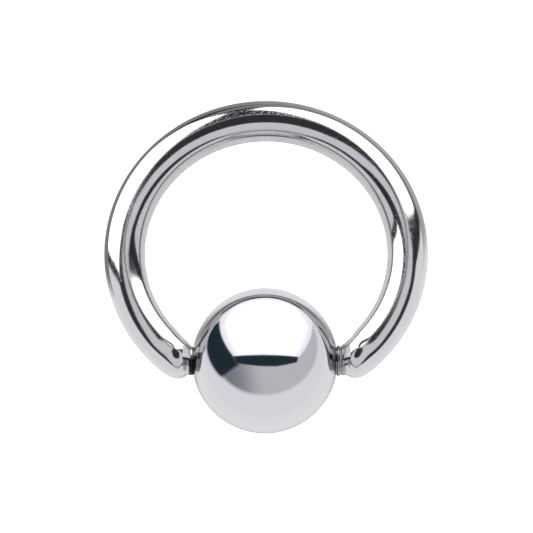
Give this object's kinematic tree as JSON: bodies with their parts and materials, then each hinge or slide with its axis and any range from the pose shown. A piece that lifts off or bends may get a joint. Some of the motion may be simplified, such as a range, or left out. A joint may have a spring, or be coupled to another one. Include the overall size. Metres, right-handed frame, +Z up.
{
  "type": "captive bead ring",
  "caption": "Open ring of polished steel wire whose ridged ends hold a dimpled steel bead in the gap, worn through a piercing.",
  "frame": {"origin": "on the surface that the ring lies on, under the middle of the whole object", "axes": "+Z up from the surface, +Y from the bead towards the far side of the wire, +X to the right seen from above with the bead nearest"},
  "size_m": [0.0126, 0.0134, 0.0057],
  "materials": {
    "ring_steel": "polished with fine wear",
    "bead_steel": "mirror polished"
  },
  "bodies": {
    "ring": {"ring": "ring_steel"},
    "bead": {"bead": "bead_steel"}
  },
  "joints": [
    {"name": "bead_spin", "type": "hinge", "parent": "ring", "child": "bead", "pos_m": [-0.00005, -0.00386, 0.00285], "axis": [1, 0, 0], "continuous": true}
  ]
}
